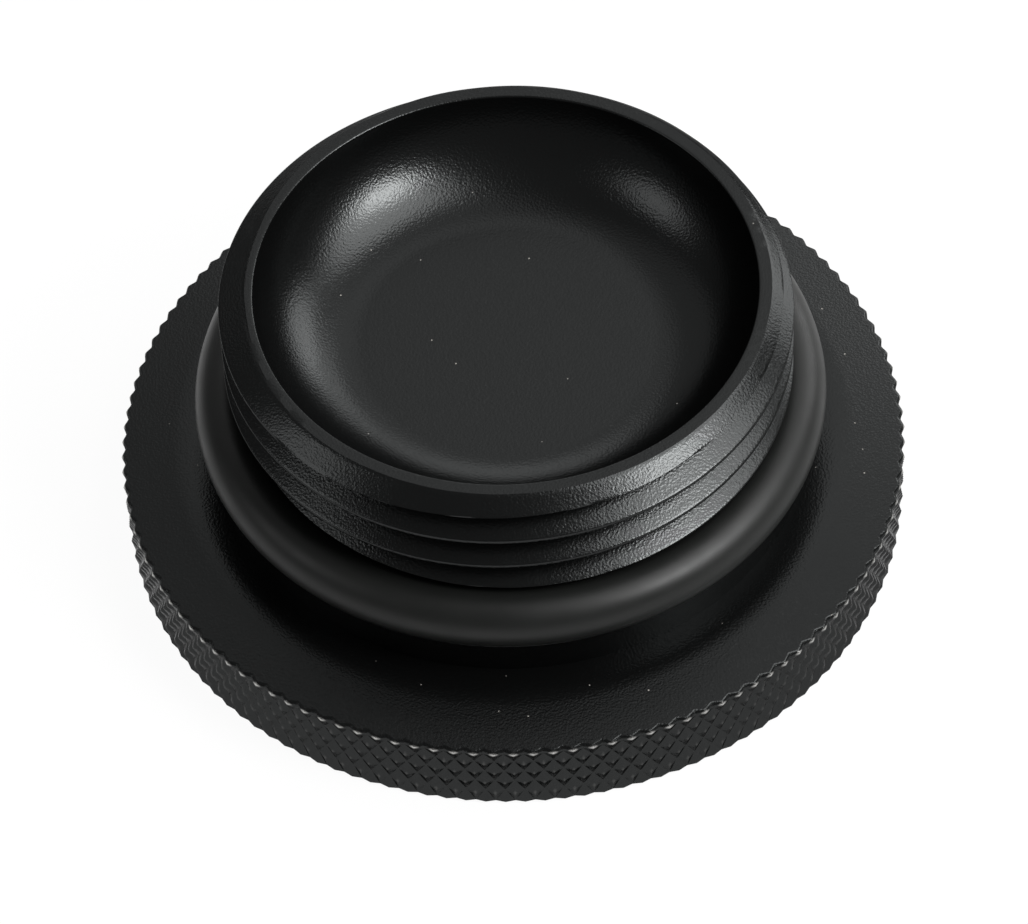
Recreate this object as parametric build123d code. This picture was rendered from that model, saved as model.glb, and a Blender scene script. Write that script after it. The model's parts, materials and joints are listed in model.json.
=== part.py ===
from build123d import *
import os
from math import ceil, cos, pi, radians, sin, tan

# Screw-in oil filler cap: one turned and knurled aluminium piece with a rubber sealing ring.
# It lies on its grip face. The origin is the centre of that face and +Z is the thread's axis.
# Lengths are millimetres, angles are degrees.

# Knurled grip flange
flange_diameter = 63.0
flange_thickness = 6.8
grip_chamfer = 0.3
knurl_points = 127
knurl_half_rows = 5
knurl_depth = 0.33

# Metric thread, right-handed
thread_diameter = 45.0
thread_pitch = 3.0
thread_length = 9.55
thread_half_angle = 30.0
thread_start_angle = -70.0
lead_chamfer = 1.7
lead_height = 1.15

# Sealing ring, and the neck and shoulder that hold it
seal_section = 4.7
seal_clearance = 0.1
seal_headroom = 0.75
neck_relief = 0.05
shoulder_land = 3.45
shoulder_height = 3.7
shoulder_fillet = 0.2

# Dished end
rim_width = 1.05
bowl_depth = 6.8
bowl_floor_diameter = 24.5

# Proportions of the thread form, cut sharper than the basic metric one, as shares of the pitch
CREST_FLAT = 1 / 10
THREAD_DEPTH = 0.7167

# Radii from the axis
flange_radius = flange_diameter / 2
thread_radius = thread_diameter / 2
root_radius = thread_radius - THREAD_DEPTH * thread_pitch
neck_radius = root_radius - neck_relief
shoulder_radius = neck_radius + shoulder_land
rim_radius = thread_radius - lead_chamfer
bowl_radius = rim_radius - rim_width
bowl_floor_radius = bowl_floor_diameter / 2
seal_radius = neck_radius + seal_clearance + seal_section / 2

# Heights above the grip face
shoulder_top = flange_thickness + shoulder_height
seal_height = shoulder_top + seal_clearance + seal_section / 2
thread_bottom = seal_height + seal_section / 2 + seal_headroom
rim_height = thread_bottom + thread_length
bowl_floor_height = rim_height - bowl_depth


def rim_corner(radius, step, height):
    """Corner of the flange's rim: every point and every valley of the knurl has its own step."""
    angle = pi * step / knurl_points
    return radius * cos(angle), radius * sin(angle), height


def knurl_corner(step, level):
    """Corner of the diamond knurl: points and valleys take turns round the rim and up it."""
    is_point = (step + level) % 2 == 0
    radius = flange_radius if is_point else flange_radius - knurl_depth
    height = grip_chamfer + (flange_thickness - grip_chamfer) * level / knurl_half_rows
    return rim_corner(radius, step, height)


def grip_corner(step):
    """Corner of the flat grip face, inside the knurl's valleys."""
    return rim_corner(flange_radius - knurl_depth - grip_chamfer, step, 0)


def flat_face(*corners):
    """Flat face through the given corners."""
    return Face(Wire.make_polygon(corners, close=True))


def knurled_flange():
    """Disc whose rim is rows of four-sided points between crossing valleys."""
    steps = range(2 * knurl_points)
    faces = [
        flat_face(*[grip_corner(step) for step in steps]),
        flat_face(*[knurl_corner(step, knurl_half_rows) for step in steps]),
    ]
    for step in steps:
        edge = [knurl_corner(step, 0), knurl_corner(step + 1, 0)]
        faces.append(flat_face(grip_corner(step), *edge))
        faces.append(flat_face(grip_corner(step), edge[1], grip_corner(step + 1)))
        for level in range(knurl_half_rows):
            near = knurl_corner(step, level)
            beside = knurl_corner(step + 1, level)
            above = knurl_corner(step, level + 1)
            across = knurl_corner(step + 1, level + 1)
            # The cell folds along the line between its two valleys.
            near_is_point = (step + level) % 2 == 0
            fold = (beside, above) if near_is_point else (near, across)
            tips = (near, across) if near_is_point else (beside, above)
            faces += [flat_face(*fold, tip) for tip in tips]
    return Solid(Shell(faces))


def turned_boss():
    """Shoulder, neck, thread blank and dished end, turned about the axis."""
    base = Polyline(
        (0, bowl_floor_height),
        (0, flange_thickness),
        (shoulder_radius + shoulder_fillet, flange_thickness),
    )
    foot = TangentArc(base @ 1, (shoulder_radius, flange_thickness + shoulder_fillet), tangent=(-1, 0))
    outline = Polyline(
        foot @ 1,
        (shoulder_radius, shoulder_top),
        (neck_radius, shoulder_top),
        (neck_radius, thread_bottom),
        (thread_radius, thread_bottom),
        (thread_radius, rim_height - lead_height),
        (rim_radius, rim_height),
        (bowl_radius, rim_height),
    )
    floor = Line((0, bowl_floor_height), (bowl_floor_radius, bowl_floor_height))
    corner = TangentArc(floor @ 1, (bowl_radius, rim_height), tangent=(1, 0))
    section = make_face(base + foot + outline + floor + corner)
    return revolve(Plane.XZ * section, Axis.Z)


def thread_turn():
    """Cutter for one turn of the thread, which starts just below the thread."""
    start_height = thread_bottom - thread_pitch / 2
    flank_slope = tan(radians(thread_half_angle))
    half_at_crest = thread_pitch * (1 - CREST_FLAT) / 2
    half_at_root = half_at_crest - (thread_radius - root_radius) * flank_slope
    # The cutter stands clear of the crests, but its turns stay apart.
    half_at_mouth = half_at_crest + thread_pitch * CREST_FLAT / 4
    mouth_radius = thread_radius + (half_at_mouth - half_at_crest) / flank_slope
    path = Pos(0, 0, start_height) * Helix(thread_pitch, thread_pitch, root_radius)
    section = make_face(
        Polyline(
            (root_radius, start_height - half_at_root),
            (mouth_radius, start_height - half_at_mouth),
            (mouth_radius, start_height + half_at_mouth),
            (root_radius, start_height + half_at_root),
            close=True,
        )
    )
    cutter = sweep(Plane.XZ * section, path, is_frenet=True)
    return Rot(0, 0, thread_start_angle) * cutter


def threaded_boss():
    """The boss with its thread cut turn by turn, from the neck to past the rim."""
    boss = turned_boss()
    cutter = thread_turn()
    for turn in range(ceil(thread_length / thread_pitch) + 1):
        boss -= Pos(0, 0, turn * thread_pitch) * cutter
    return boss


def cap_body():
    """The turned, threaded and knurled piece."""
    return knurled_flange() + threaded_boss()


def seal_ring():
    """Rubber ring on the shoulder, round the neck below the thread."""
    return Pos(0, 0, seal_height) * Torus(seal_radius, seal_section / 2)


os.makedirs("parts", exist_ok=True)
export_step(cap_body(), "parts/cap_body.step")
export_step(seal_ring(), "parts/seal_ring.step")
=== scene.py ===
import json
from math import atan2, cos, hypot, pi, radians, sin, tan

import bmesh
import bpy
from bpy.props import FloatProperty, FloatVectorProperty, IntProperty, PointerProperty
from mathutils import Matrix, Vector


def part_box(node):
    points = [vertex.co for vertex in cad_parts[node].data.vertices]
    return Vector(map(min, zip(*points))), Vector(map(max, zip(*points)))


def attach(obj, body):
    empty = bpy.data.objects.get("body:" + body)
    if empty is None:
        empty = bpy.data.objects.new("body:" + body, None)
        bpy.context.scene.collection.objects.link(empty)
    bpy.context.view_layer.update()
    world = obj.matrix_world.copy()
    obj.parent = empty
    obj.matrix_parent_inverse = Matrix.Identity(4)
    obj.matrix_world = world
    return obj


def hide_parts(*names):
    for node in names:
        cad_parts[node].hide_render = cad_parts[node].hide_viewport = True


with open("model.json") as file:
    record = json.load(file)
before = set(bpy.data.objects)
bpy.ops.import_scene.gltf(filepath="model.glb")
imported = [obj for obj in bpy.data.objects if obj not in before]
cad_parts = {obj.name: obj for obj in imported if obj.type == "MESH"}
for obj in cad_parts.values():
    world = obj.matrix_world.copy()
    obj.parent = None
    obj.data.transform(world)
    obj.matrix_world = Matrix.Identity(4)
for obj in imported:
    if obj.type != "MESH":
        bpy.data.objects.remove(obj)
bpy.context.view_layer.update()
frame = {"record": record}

bl_info = {
    "name": "Oil filler cap",
    "version": (1, 0, 0),
    "blender": (4, 5, 0),
    "location": "3D View > Sidebar > Oil cap",
    "description": "Screw-in oil filler cap: turned and knurled body, rubber sealing ring, studio stage",
    "category": "Object",
}

MM = 0.001
_, BODY_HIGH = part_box("cap_body")
RING_LOW, RING_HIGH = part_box("seal_ring")
THREAD_MOUNT = next(mount for mount in frame["record"]["mounts"] if mount["name"] == "thread")

# Proportions of the thread form, as shares of the pitch, and the lean of its flanks
CREST_FLAT = 1 / 10
THREAD_DEPTH = 0.7167
FLANK_ANGLE = radians(30)

# Share of the flat rim's width that is made with the thread; the rest is made with the dish
RIM_SHARE = 0.7

# Room between the ring and what holds it
SEAL_CLEARANCE = 0.1 * MM
SEAL_HEADROOM = 0.75 * MM

# How gently the flange's level seat goes over into its lean
SEAT_EASE = 0.9 * MM

# Points closer than this are one point, and edges that turn by more than this angle stay sharp
WELD = 0.001 * MM
SHARP_ANGLE = radians(25)

# How finely the thread's flanks, the dish's wall and the ring are divided
FLANK_CUTS = 12
WALL_STEPS = 44
RING_STEPS = 256
RING_SECTION_STEPS = 64

# Grit that blasting leaves in the metal: it is finer than this, and is drawn as coarse as it needs to show
GRIT_SIZE = 0.18 * MM
GRIT_DEPTH = 0.023 * MM

# Bare metal painted on the knurl's points, partly as wear and partly as painted glints, and how much of it
# there is below their upper edge
GLINT_WEAR_DEPTH = 0.2 * MM
SIDE_GLINT_WEAR = 0.1

# Specks of dust, how far apart they are, and how level a face has to lie for dust to stay on it
DUST_SIZE = 0.065 * MM
DUST_SPACING = 2 * MM
DUST_LEVEL = 0.9

# Size of the uneven patches on the rubber's skin
SKIN_SIZE = 2.5 * MM

# Lamps round the cap: bearing from the front towards the right, rise above the floor and half the angle that
# the lamp fills, in degrees, and its brightness, where 1 is lit white paper
LAMPS = {
    "key": (61, 42, 11, 18.0),
    "key screen": (78, 54, 22, 4.4),
    "right low": (131, 20, 13, 4.7),
    "right high": (120, 60, 30, 0.54),
    "back right": (150, 28, 12, 2.4),
    "back low": (178, 24, 13, 1.3),
    "back": (172, 42, 22, 0.34),
    "back left": (200, 40, 30, 0.3),
    "left": (280, 35, 13, 2.1),
}

# How far off the lamps hang, and the point that they face
LAMP_DISTANCE = 0.6
LAMP_AIM = Vector((0, 0, 15 * MM))

# Half the floor's width, the share of it that shows white whatever falls on it, and the gap between it
# and the grip face
FLOOR_REACH = 2.0
FLOOR_GLOW = 0.95
FLOOR_GAP = 0.01 * MM

# Camera: width of its sensor in millimetres, and the nearest distance that it shows
SENSOR_WIDTH = 36
NEAREST = 10 * MM


def linear(hex_colour):
    """Linear RGB of an sRGB hex colour."""
    levels = [int(hex_colour[start:start + 2], 16) / 255 for start in (1, 3, 5)]
    return [level / 12.92 if level <= 0.04045 else ((level + 0.055) / 1.055) ** 2.4 for level in levels]


class CapSizes(bpy.types.PropertyGroup):
    """Sizes of the turned body, as radii from its axis and heights above its grip face."""

    flange_radius: FloatProperty(
        name="Flange radius", description="Radius over the knurl's points", default=BODY_HIGH.x,
        unit="LENGTH")
    flange_thickness: FloatProperty(
        name="Flange thickness", description="Height of the flange at its rim", default=6.8 * MM,
        unit="LENGTH")
    flange_lean: FloatProperty(
        name="Flange lean", description="How far the flange's upper face falls away towards the rim",
        default=radians(8), subtype="ANGLE")
    seat_radius: FloatProperty(
        name="Seat radius", description="Radius of the level seat round the shoulder", default=26.5 * MM,
        unit="LENGTH")
    grip_chamfer: FloatProperty(
        name="Grip chamfer", description="Height of the chamfer round the grip face", default=0.3 * MM,
        unit="LENGTH")
    knurl_points: IntProperty(
        name="Knurl points", description="Points in one row round the rim", default=127)
    knurl_half_rows: IntProperty(
        name="Knurl half rows", description="Half rows of points up the rim", default=5)
    knurl_depth: FloatProperty(
        name="Knurl depth", description="Depth of the valleys at the rim's edges", default=0.33 * MM,
        unit="LENGTH")
    pit_depth: FloatProperty(
        name="Pit depth", description="Depth of the pits where the valleys cross", default=0.55 * MM,
        unit="LENGTH")
    knurl_wear: IntProperty(
        name="Knurl wear", description="How many times the knurl's points are rounded off", default=1)
    rim_rounding: FloatProperty(
        name="Rim rounding", description="Rounding of the knurl's points at the upper face",
        default=0.3 * MM, unit="LENGTH")
    shoulder_radius: FloatProperty(
        name="Shoulder radius", description="Radius of the shoulder under the ring", default=23.75 * MM,
        unit="LENGTH")
    shoulder_top: FloatProperty(
        name="Shoulder top", description="Height of the shoulder that the ring sits on",
        default=RING_LOW.z - SEAL_CLEARANCE, unit="LENGTH")
    neck_radius: FloatProperty(
        name="Neck radius", description="Radius of the neck inside the ring",
        default=RING_HIGH.x - (RING_HIGH.z - RING_LOW.z) - SEAL_CLEARANCE, unit="LENGTH")
    thread_radius: FloatProperty(
        name="Thread radius", description="Radius over the thread's crests",
        default=THREAD_MOUNT["dims"]["r_mm"] * MM, unit="LENGTH")
    thread_pitch: FloatProperty(
        name="Thread pitch", description="Rise of the thread in one turn", default=3.0 * MM,
        unit="LENGTH")
    thread_bottom: FloatProperty(
        name="Thread bottom", description="Height where the thread ends above the neck",
        default=RING_HIGH.z + SEAL_HEADROOM, unit="LENGTH")
    thread_start: FloatProperty(
        name="Thread start", description="Where the groove is half a pitch below the thread's end",
        default=radians(-70), subtype="ANGLE")
    lead_chamfer: FloatProperty(
        name="Lead-in chamfer", description="Width of the chamfer between thread and rim", default=1.7 * MM,
        unit="LENGTH")
    lead_height: FloatProperty(
        name="Lead-in height", description="Height of the chamfer between thread and rim", default=1.15 * MM,
        unit="LENGTH")
    rim_height: FloatProperty(
        name="Rim height", description="Height of the rim round the dish", default=BODY_HIGH.z,
        unit="LENGTH")
    rim_width: FloatProperty(
        name="Rim width", description="Width of the flat rim", default=1.05 * MM, unit="LENGTH")
    bowl_depth: FloatProperty(
        name="Dish depth", description="Depth of the dished end below its rim", default=6.8 * MM,
        unit="LENGTH")
    bowl_floor_radius: FloatProperty(
        name="Dish floor radius", description="Radius of the dish's flat floor", default=11.5 * MM,
        unit="LENGTH")
    edge_break: FloatProperty(
        name="Edge break", description="Rounding of the turned edges", default=0.12 * MM, unit="LENGTH")


class RingSizes(bpy.types.PropertyGroup):
    """Sizes of the sealing ring."""

    section: FloatProperty(
        name="Section", description="Diameter of the ring's round section", default=RING_HIGH.z - RING_LOW.z,
        unit="LENGTH")
    outer_radius: FloatProperty(
        name="Outer radius", description="Radius over the ring", default=RING_HIGH.x, unit="LENGTH")
    bottom: FloatProperty(
        name="Bottom", description="Height of the ring's lowest line", default=RING_LOW.z, unit="LENGTH")


class Finishes(bpy.types.PropertyGroup):
    """Colours of the surfaces."""

    anodising: FloatVectorProperty(
        name="Black anodising", description="Dyed oxide layer of the body", default=linear("#303131"),
        subtype="COLOR", size=3, min=0, max=1)
    # Painted glints: this light colour on the knurl's points stands partly for wear and partly for
    # highlights.
    bare_metal_glint: FloatVectorProperty(
        name="Bare metal", description="Aluminium where the anodising has worn off",
        default=linear("#c4c3c0"), subtype="COLOR", size=3, min=0, max=1)
    rubber: FloatVectorProperty(
        name="Rubber", description="Nitrile rubber of the ring", default=linear("#151615"),
        subtype="COLOR", size=3, min=0, max=1)
    dust: FloatVectorProperty(
        name="Dust", description="Specks of dust on the faces that look up", default=linear("#8a8782"),
        subtype="COLOR", size=3, min=0, max=1)
    floor: FloatVectorProperty(
        name="Floor", description="Studio floor and background", default=linear("#ffffff"),
        subtype="COLOR", size=3, min=0, max=1)


class StageSettings(bpy.types.PropertyGroup):
    """Camera and lamps."""

    camera_place: FloatVectorProperty(
        name="Camera place", description="Where the lens is, in front of the cap and above it",
        default=(0, -301.5 * MM, 381.2 * MM), subtype="TRANSLATION", unit="LENGTH", size=3)
    aim_height: FloatProperty(
        name="Aim height", description="Height on the cap's axis that the camera looks at",
        default=3.48 * MM, unit="LENGTH")
    camera_roll: FloatProperty(
        name="Camera roll", description="How far the camera leans clockwise", default=radians(2.8),
        subtype="ANGLE")
    camera_lens: FloatProperty(
        name="Focal length", description="Focal length, in millimetres", default=209.6)
    surroundings: FloatProperty(
        name="Surroundings", description="Brightness of the studio round the lamps", default=0.15)


def draw_outline(mesh, corners):
    """Open outline through (radius, height) corners, in the half plane that is turned about the axis."""
    points = [mesh.verts.new((radius, 0, height)) for radius, height in corners]
    for near, far in zip(points, points[1:]):
        mesh.edges.new((near, far))
    return points


def round_corner(mesh, corner, size, segments=4):
    """Rounds one corner of an outline."""
    bmesh.ops.bevel(
        mesh, geom=[corner], offset=size, offset_type="OFFSET", segments=segments, profile=0.5,
        affect="VERTICES", material=-1)


def turn_outlines(mesh, steps):
    """Turns every outline that has no faces yet once about the axis."""
    edges = [edge for edge in mesh.edges if edge.is_wire]
    points = {point for edge in edges for point in edge.verts}
    bmesh.ops.spin(
        mesh, geom=[*points, *edges], cent=(0, 0, 0), axis=(0, 0, 1), angle=2 * pi, steps=steps,
        use_merge=True)


def soft_least(first, second, reach):
    """The lesser of two lengths, rounded off where they are within reach of each other."""
    overlap = max(reach - abs(first - second), 0) / reach
    return min(first, second) - overlap * overlap * reach / 4


def to_radius(point, radius):
    """Moves a point along its own radius."""
    factor = radius / hypot(point.co.x, point.co.y)
    point.co.x *= factor
    point.co.y *= factor


def rim_line(cap):
    """Radius of the line on the flat rim where the turned dish meets the cut thread."""
    return cap.thread_radius - cap.lead_chamfer - RIM_SHARE * cap.rim_width


def thread_outline(mesh, cap, start_height):
    """One pitch of the thread from groove to groove, with its crest in the middle."""
    depth = THREAD_DEPTH * cap.thread_pitch
    root_radius = cap.thread_radius - depth
    middle = start_height + cap.thread_pitch / 2
    crest_half = CREST_FLAT * cap.thread_pitch / 2
    foot_half = crest_half + depth * tan(FLANK_ANGLE)
    points = draw_outline(mesh, [
        (root_radius, start_height),
        (root_radius, middle - foot_half),
        (cap.thread_radius, middle - crest_half),
        (cap.thread_radius, middle + crest_half),
        (root_radius, middle + foot_half),
        (root_radius, start_height + cap.thread_pitch),
    ])
    for corner in points[1:-1]:
        round_corner(mesh, corner, cap.edge_break / 2, segments=3)
    flanks = [edge for edge in mesh.edges if edge.calc_length() > depth / 2]
    bmesh.ops.subdivide_edges(mesh, edges=flanks, cuts=FLANK_CUTS)


def cut_thread(mesh, cap, steps):
    """Helical thread, faced off at the neck and cut back to the lead-in chamfer and the rim."""
    rim_radius = cap.thread_radius - cap.lead_chamfer
    groove_height = cap.thread_bottom - cap.thread_pitch * (0.5 + cap.thread_start / (2 * pi))
    start_height = groove_height - cap.thread_pitch
    turns = int((cap.rim_height - start_height) / cap.thread_pitch) + 1
    thread_outline(mesh, cap, start_height)
    bmesh.ops.spin(
        mesh, geom=[*mesh.verts, *mesh.edges], cent=(0, 0, 0), axis=(0, 0, 1),
        dvec=(0, 0, cap.thread_pitch / steps), angle=2 * pi, steps=steps)
    turn = [*mesh.verts, *mesh.edges, *mesh.faces]
    for number in range(1, turns):
        copy = bmesh.ops.duplicate(mesh, geom=turn)["geom"]
        points = [part for part in copy if isinstance(part, bmesh.types.BMVert)]
        bmesh.ops.translate(mesh, verts=points, vec=(0, 0, number * cap.thread_pitch))
    bmesh.ops.remove_doubles(mesh, verts=mesh.verts, dist=WELD)
    for point in mesh.verts:
        radius = hypot(point.co.x, point.co.y)
        below_rim = cap.rim_height - point.co.z
        lead_in = rim_radius + below_rim * cap.lead_chamfer / cap.lead_height
        radius = soft_least(radius, lead_in, cap.edge_break)
        run_out = cap.thread_radius - cap.edge_break + point.co.z - cap.thread_bottom
        radius = soft_least(radius, run_out, cap.edge_break)
        # The rim's edge is broken all the way round, also where the groove runs into it.
        broken = min(max(1 - below_rim / cap.edge_break, 0), 1)
        to_radius(point, radius - broken * broken * cap.edge_break / 2)
    for height in (cap.thread_bottom, cap.rim_height - cap.edge_break, cap.rim_height - cap.edge_break / 2,
                   cap.rim_height):
        bmesh.ops.bisect_plane(
            mesh, geom=[*mesh.verts, *mesh.edges, *mesh.faces], dist=WELD / 10, plane_co=(0, 0, height),
            plane_no=(0, 0, 1))
    # What reaches past the two ends is drawn in to the neck and to a line on the flat rim.
    for point in mesh.verts:
        if point.co.z > cap.rim_height + WELD:
            to_radius(point, rim_line(cap))
            point.co.z = cap.rim_height
        elif point.co.z < cap.thread_bottom - WELD:
            to_radius(point, cap.neck_radius)
            point.co.z = cap.thread_bottom


def outline_foot(mesh, cap):
    """Outline of the grip face, the flange, the shoulder and the neck."""
    grip_radius = cap.flange_radius - cap.knurl_depth - cap.grip_chamfer
    seat_height = cap.flange_thickness + (cap.flange_radius - cap.seat_radius) * tan(cap.flange_lean)
    _, _, grip_edge, rim_edge, seat_edge, _, shoulder_edge, neck_foot, _ = draw_outline(mesh, [
        (0, 0),
        (grip_radius, 0),
        (cap.flange_radius, cap.grip_chamfer),
        (cap.flange_radius, cap.flange_thickness),
        (cap.seat_radius, seat_height),
        (cap.shoulder_radius, seat_height),
        (cap.shoulder_radius, cap.shoulder_top),
        (cap.neck_radius, cap.shoulder_top),
        (cap.neck_radius, cap.thread_bottom),
    ])
    for corner, size in (
            (rim_edge, cap.rim_rounding),
            (seat_edge, SEAT_EASE),
            (shoulder_edge, 2 * cap.edge_break),
            (neck_foot, 2 * cap.edge_break)):
        round_corner(mesh, corner, size)
    rim = next(edge for edge in grip_edge.link_edges if edge.other_vert(grip_edge).co.z > cap.grip_chamfer)
    bmesh.ops.subdivide_edges(mesh, edges=[rim], cuts=cap.knurl_half_rows - 1)


def outline_dish(mesh, cap):
    """Outline of the dished end: a flat floor, one arc up its wall and the inner part of the flat rim."""
    bowl_radius = cap.thread_radius - cap.lead_chamfer - cap.rim_width
    floor_height = cap.rim_height - cap.bowl_depth
    floor = draw_outline(mesh, [(0, floor_height), (cap.bowl_floor_radius, floor_height)])
    width = bowl_radius - cap.bowl_floor_radius
    wall_radius = (width ** 2 + cap.bowl_depth ** 2) / (2 * cap.bowl_depth)
    arc = bmesh.ops.spin(
        mesh, geom=[floor[1]], cent=floor[1].co + Vector((0, 0, wall_radius)), axis=(0, -1, 0),
        angle=atan2(width, wall_radius - cap.bowl_depth), steps=WALL_STEPS)
    wall = next(part for part in arc["geom_last"] if isinstance(part, bmesh.types.BMVert))
    rim = mesh.verts.new((rim_line(cap), 0, cap.rim_height))
    mesh.edges.new((wall, rim))
    round_corner(mesh, wall, cap.edge_break)


def press_knurl(mesh, cap):
    """Presses the crossing valleys into the flange's rim and rounds off the points that are left."""
    top = cap.flange_thickness - cap.rim_rounding
    row_height = (top - cap.grip_chamfer) / cap.knurl_half_rows
    rim = [point for point in mesh.verts
           if hypot(point.co.x, point.co.y) > cap.flange_radius - cap.rim_rounding - WELD]
    valleys = []
    for point in rim:
        radius = hypot(point.co.x, point.co.y)
        step = round(atan2(point.co.y, point.co.x) * cap.knurl_points / pi)
        level = round((min(point.co.z, top) - cap.grip_chamfer) / row_height)
        if (step + level) % 2:
            at_edge = level in (0, cap.knurl_half_rows)
            to_radius(point, radius - (cap.knurl_depth if at_edge else cap.pit_depth))
            if point.co.z < top + WELD:
                valleys.append(point)
            elif point.co.z > cap.flange_thickness:
                # The valley's inner end rises with the leaning face.
                point.co.z += cap.knurl_depth * tan(cap.flange_lean)
        elif level == 0:
            # The chamfer round the grip face has taken half of the lowest points.
            to_radius(point, radius - cap.knurl_depth / 2)
    bmesh.ops.connect_verts(mesh, verts=valleys)
    rim_set = set(rim)
    knurl = {edge for point in rim for edge in point.link_edges if edge.other_vert(point) in rim_set}
    bmesh.ops.subdivide_edges(mesh, edges=list(knurl), cuts=2, use_grid_fill=True)
    least_radius = cap.flange_radius - cap.pit_depth - cap.rim_rounding
    worn = [point for point in mesh.verts
            if hypot(point.co.x, point.co.y) > least_radius
            and cap.grip_chamfer + WELD < point.co.z < cap.flange_thickness - WELD]
    for _ in range(cap.knurl_wear):
        bmesh.ops.smooth_vert(
            mesh, verts=worn, factor=0.5, use_axis_x=True, use_axis_y=True, use_axis_z=True)


def finish_piece(mesh, name, material, node):
    """Makes the modelled mesh a piece that rides on the part in place of its solid."""
    bmesh.ops.remove_doubles(mesh, verts=mesh.verts, dist=WELD)
    bmesh.ops.recalc_face_normals(mesh, faces=mesh.faces)
    data = bpy.data.meshes.new(name)
    mesh.to_mesh(data)
    mesh.free()
    data.shade_smooth()
    data.set_sharp_from_angle(angle=SHARP_ANGLE)
    data.materials.append(material)
    piece = bpy.data.objects.new(name, data)
    bpy.context.scene.collection.objects.link(piece)
    # Flat faces stay flat beside their rounded edges.
    flats = piece.modifiers.new("flat faces", "WEIGHTED_NORMAL")
    flats.keep_sharp = True
    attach(piece, "root")
    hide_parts(node)


def add_node(tree, kind, sockets=None, **settings):
    """Adds a node with its settings, and sets or links its input sockets."""
    node = tree.nodes.new(kind)
    for name, value in settings.items():
        setattr(node, name, value)
    for name, value in (sockets or {}).items():
        if isinstance(value, bpy.types.NodeSocket):
            tree.links.new(value, node.inputs[name])
        else:
            node.inputs[name].default_value = value
    return node


def new_material(name):
    """Empty node material and its tree."""
    material = bpy.data.materials.new(name)
    material.use_nodes = True
    material.node_tree.nodes.clear()
    return material, material.node_tree


def anodised_aluminium(finishes, cap):
    """Turned aluminium, blasted and black anodised."""
    # The dyed oxide is nearly black, so most of what the eye sees is a soft sheen, which stays grey at
    # glancing angles, and the grit of the blasting shows in the highlights. The knurl's points are painted
    # bare metal, partly as wear and partly as painted glints brightest at their upper edge, and a little
    # dust lies on the faces that look up.
    material, tree = new_material("blasted black anodised aluminium")
    place = add_node(tree, "ShaderNodeTexCoord").outputs["Object"]
    grit = add_node(tree, "ShaderNodeTexNoise", {"Vector": place, "Scale": 1 / GRIT_SIZE, "Detail": 1.0})
    bump = add_node(tree, "ShaderNodeBump", {
        "Height": grit.outputs["Fac"], "Strength": 1.0, "Distance": GRIT_DEPTH})
    across = add_node(tree, "ShaderNodeVectorMath", {0: place, 1: (1, 1, 0)}, operation="MULTIPLY")
    radius = add_node(tree, "ShaderNodeVectorMath", {0: across.outputs["Vector"]}, operation="LENGTH")
    # Painted glints: bare metal painted on the knurl's points, brightest at their upper edge, stands partly
    # for wear and partly for highlights.
    glint_tip = add_node(tree, "ShaderNodeMapRange", {
        "Value": radius.outputs["Value"], "From Min": cap.flange_radius - GLINT_WEAR_DEPTH,
        "From Max": cap.flange_radius - GLINT_WEAR_DEPTH / 3})
    height = add_node(tree, "ShaderNodeSeparateXYZ", {"Vector": place})
    edge_height = cap.flange_thickness - cap.rim_rounding / 2
    edge = add_node(tree, "ShaderNodeMapRange", {
        "Value": height.outputs["Z"], "From Min": edge_height - GLINT_WEAR_DEPTH, "From Max": edge_height,
        "To Min": SIDE_GLINT_WEAR})
    worn = add_node(tree, "ShaderNodeMath", {0: glint_tip.outputs["Result"], 1: edge.outputs["Result"]},
                    operation="MULTIPLY")
    colour = add_node(tree, "ShaderNodeMixRGB", {
        "Fac": worn.outputs[0], "Color1": [*finishes.anodising, 1], "Color2": [*finishes.bare_metal_glint, 1]})
    surface = add_node(tree, "ShaderNodeBsdfPrincipled", {
        "Base Color": colour.outputs["Color"],
        "Metallic": 0.92,
        "Specular Tint": (0.48, 0.48, 0.48, 1),
        "Roughness": 0.22,
        "Normal": bump.outputs["Normal"],
    })
    specks = add_node(tree, "ShaderNodeTexVoronoi", {"Vector": place, "Scale": 1 / DUST_SPACING})
    near = add_node(tree, "ShaderNodeMath", {0: specks.outputs["Distance"], 1: DUST_SIZE / DUST_SPACING},
                    operation="LESS_THAN")
    facing = add_node(tree, "ShaderNodeSeparateXYZ", {
        "Vector": add_node(tree, "ShaderNodeNewGeometry").outputs["Normal"]})
    level = add_node(tree, "ShaderNodeMath", {0: facing.outputs["Z"], 1: DUST_LEVEL},
                     operation="GREATER_THAN")
    dusty = add_node(tree, "ShaderNodeMath", {0: near.outputs[0], 1: level.outputs[0]}, operation="MULTIPLY")
    dust = add_node(tree, "ShaderNodeBsdfDiffuse", {"Color": [*finishes.dust, 1]})
    mixed = add_node(tree, "ShaderNodeMixShader", {
        0: dusty.outputs[0], 1: surface.outputs["BSDF"], 2: dust.outputs["BSDF"]})
    add_node(tree, "ShaderNodeOutputMaterial", {"Surface": mixed.outputs[0]})
    return material


def nitrile_rubber(finishes):
    """Nitrile rubber, moulded."""
    # Moulded rubber has a closed, slightly uneven skin, which gives a broad dull sheen without grain.
    material, tree = new_material("moulded nitrile rubber")
    place = add_node(tree, "ShaderNodeTexCoord").outputs["Object"]
    skin = add_node(tree, "ShaderNodeTexNoise", {"Vector": place, "Scale": 1 / SKIN_SIZE, "Detail": 3.0})
    gloss = add_node(tree, "ShaderNodeMapRange", {
        "Value": skin.outputs["Fac"], "To Min": 0.34, "To Max": 0.5})
    surface = add_node(tree, "ShaderNodeBsdfPrincipled", {
        "Base Color": [*finishes.rubber, 1],
        "Roughness": gloss.outputs["Result"],
        "IOR": 1.5,
        "Specular IOR Level": 0.28,
    })
    add_node(tree, "ShaderNodeOutputMaterial", {"Surface": surface.outputs["BSDF"]})
    return material


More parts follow.
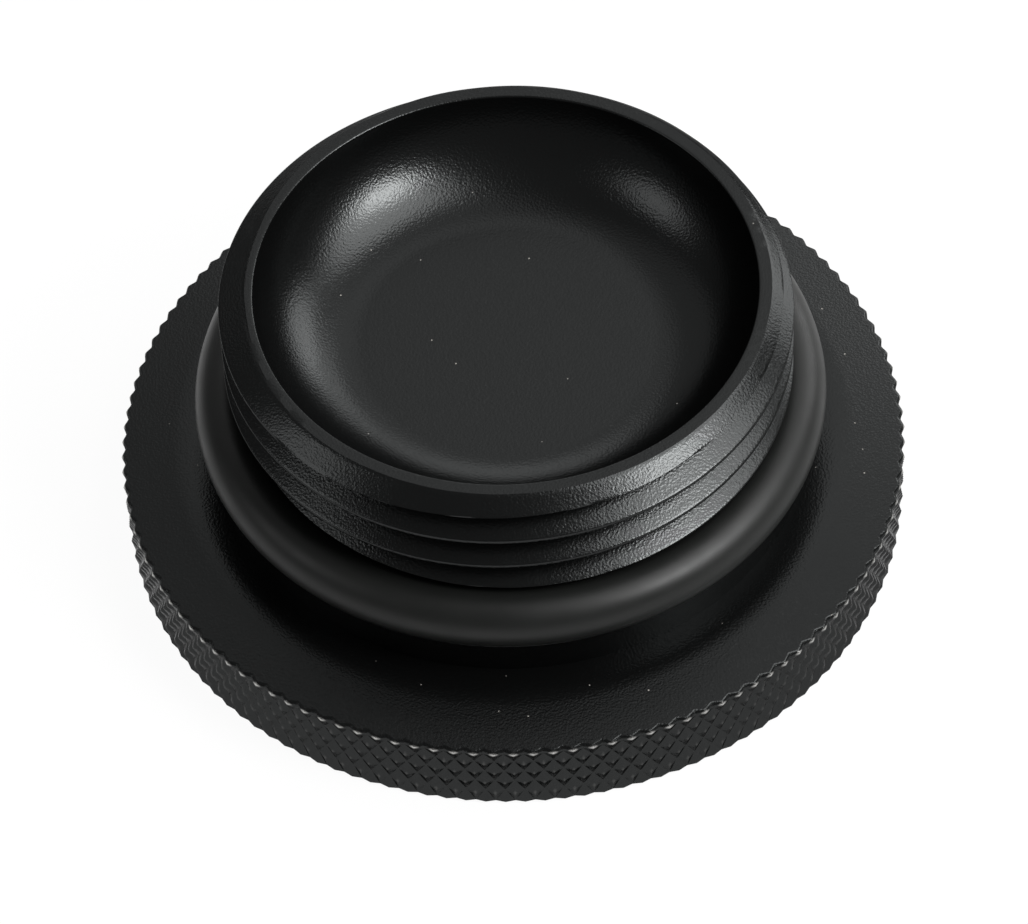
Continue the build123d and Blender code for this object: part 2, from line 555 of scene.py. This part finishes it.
class OILCAP_OT_body(bpy.types.Operator):
    """Turn the body, cut its thread and press its knurl"""

    bl_idname = "oilcap.body"
    bl_label = "Cap body"

    def execute(self, context):
        cap = context.scene.oilcap_sizes
        steps = 2 * cap.knurl_points
        mesh = bmesh.new()
        cut_thread(mesh, cap, steps)
        outline_foot(mesh, cap)
        outline_dish(mesh, cap)
        turn_outlines(mesh, steps)
        bmesh.ops.remove_doubles(mesh, verts=mesh.verts, dist=WELD)
        press_knurl(mesh, cap)
        material = anodised_aluminium(context.scene.oilcap_finishes, cap)
        finish_piece(mesh, "turned_body", material, "cap_body")
        return {"FINISHED"}


class OILCAP_OT_ring(bpy.types.Operator):
    """Mould the sealing ring round the neck"""

    bl_idname = "oilcap.ring"
    bl_label = "Sealing ring"

    def execute(self, context):
        ring = context.scene.oilcap_ring
        half = ring.section / 2
        place = Matrix.Translation((ring.outer_radius - half, 0, ring.bottom + half))
        mesh = bmesh.new()
        bmesh.ops.create_circle(
            mesh, cap_ends=False, radius=half, segments=RING_SECTION_STEPS,
            matrix=place @ Matrix.Rotation(pi / 2, 4, "X"))
        turn_outlines(mesh, RING_STEPS)
        material = nitrile_rubber(context.scene.oilcap_finishes)
        finish_piece(mesh, "rubber_ring", material, "seal_ring")
        return {"FINISHED"}


def set_camera(scene, stage):
    """Camera at the viewing angle, in front of the cap and above it."""
    place = Vector(stage.camera_place)
    looking = Vector((0, 0, stage.aim_height)) - place
    roll = Matrix.Rotation(-stage.camera_roll, 4, "Z")
    turned = looking.to_track_quat("-Z", "Y").to_matrix().to_4x4() @ roll
    data = bpy.data.cameras.new("camera")
    data.lens = stage.camera_lens
    data.sensor_width = SENSOR_WIDTH
    data.clip_start = NEAREST
    camera = bpy.data.objects.new("camera", data)
    camera.matrix_world = Matrix.Translation(place) @ turned
    scene.collection.objects.link(camera)
    scene.camera = camera


def lay_floor(scene, finishes):
    """White floor that keeps a faint shadow where the camera or a reflection shows it."""
    material, tree = new_material("white studio floor")
    path = add_node(tree, "ShaderNodeLightPath")
    shown = add_node(tree, "ShaderNodeMath", {
        0: path.outputs["Is Camera Ray"], 1: path.outputs["Is Glossy Ray"]}, operation="MAXIMUM")
    shown = add_node(tree, "ShaderNodeMath", {0: shown.outputs[0], 1: path.outputs["Is Transmission Ray"]},
                     operation="MAXIMUM")
    share = add_node(tree, "ShaderNodeMath", {0: shown.outputs[0], 1: FLOOR_GLOW}, operation="MULTIPLY")
    paint = add_node(tree, "ShaderNodeBsdfDiffuse", {"Color": [*finishes.floor, 1]})
    glow = add_node(tree, "ShaderNodeEmission", {"Color": [*finishes.floor, 1], "Strength": 1.0})
    mixed = add_node(tree, "ShaderNodeMixShader", {
        0: share.outputs[0], 1: paint.outputs["BSDF"], 2: glow.outputs["Emission"]})
    add_node(tree, "ShaderNodeOutputMaterial", {"Surface": mixed.outputs[0]})
    mesh = bmesh.new()
    bmesh.ops.create_grid(
        mesh, x_segments=1, y_segments=1, size=FLOOR_REACH, matrix=Matrix.Translation((0, 0, -FLOOR_GAP)))
    data = bpy.data.meshes.new("floor")
    mesh.to_mesh(data)
    mesh.free()
    data.materials.append(material)
    floor = bpy.data.objects.new("floor", data)
    scene.collection.objects.link(floor)


def hang_lamp(scene, name, bearing, rise, spread, brightness):
    """Round lamp on a bearing from the front and at a rise above the floor, turned to the cap."""
    bearing, rise, spread = radians(bearing), radians(rise), radians(spread)
    way = Vector((cos(rise) * sin(bearing), -cos(rise) * cos(bearing), sin(rise)))
    data = bpy.data.lights.new(name, "AREA")
    data.shape = "DISK"
    data.size = 2 * LAMP_DISTANCE * tan(spread)
    # A flat lamp as bright as white paper gives off pi watts from each square metre.
    data.energy = brightness * pi * pi * (data.size / 2) ** 2
    lamp = bpy.data.objects.new(name, data)
    turned = way.to_track_quat("Z", "Y").to_matrix().to_4x4()
    lamp.matrix_world = Matrix.Translation(LAMP_AIM + LAMP_DISTANCE * way) @ turned
    scene.collection.objects.link(lamp)


def light_world(scene, brightness):
    """Dim, even surroundings."""
    world = bpy.data.worlds.new("studio")
    world.use_nodes = True
    tree = world.node_tree
    tree.nodes.clear()
    even = add_node(tree, "ShaderNodeBackground", {"Color": (1, 1, 1, 1), "Strength": brightness})
    add_node(tree, "ShaderNodeOutputWorld", {"Surface": even.outputs[0]})
    scene.world = world


class OILCAP_OT_stage(bpy.types.Operator):
    """Set the floor, lamps, surroundings and camera"""

    bl_idname = "oilcap.stage"
    bl_label = "Stage"

    def execute(self, context):
        scene = context.scene
        stage = scene.oilcap_stage
        scene.view_settings.view_transform = "Standard"
        lay_floor(scene, scene.oilcap_finishes)
        light_world(scene, stage.surroundings)
        for name, lamp in LAMPS.items():
            hang_lamp(scene, name, *lamp)
        set_camera(scene, stage)
        return {"FINISHED"}


class OILCAP_PT_panel(bpy.types.Panel):
    """Sizes, colours and pieces of the cap"""

    bl_idname = "OILCAP_PT_panel"
    bl_label = "Oil filler cap"
    bl_space_type = "VIEW_3D"
    bl_region_type = "UI"
    bl_category = "Oil cap"

    def draw(self, context):
        for operator in OPERATORS:
            self.layout.operator(operator.bl_idname)
        for name in SETTINGS:
            group = getattr(context.scene, name)
            column = self.layout.column()
            for size in group.bl_rna.properties.keys():
                if size not in ("rna_type", "name"):
                    column.prop(group, size)


SETTINGS = {
    "oilcap_sizes": CapSizes,
    "oilcap_ring": RingSizes,
    "oilcap_finishes": Finishes,
    "oilcap_stage": StageSettings,
}
OPERATORS = (OILCAP_OT_body, OILCAP_OT_ring, OILCAP_OT_stage)


def register():
    """Adds the classes to Blender and the settings to its scenes."""
    for group in (*SETTINGS.values(), *OPERATORS, OILCAP_PT_panel):
        bpy.utils.register_class(group)
    for name, group in SETTINGS.items():
        setattr(bpy.types.Scene, name, PointerProperty(type=group))


def unregister():
    """Takes the settings and the classes out again."""
    for name in SETTINGS:
        delattr(bpy.types.Scene, name)
    for group in reversed((*SETTINGS.values(), *OPERATORS, OILCAP_PT_panel)):
        bpy.utils.unregister_class(group)


def main():
    register()
    bpy.ops.oilcap.body()
    bpy.ops.oilcap.ring()
    bpy.ops.oilcap.stage()


if __name__ == "__main__":
    main()
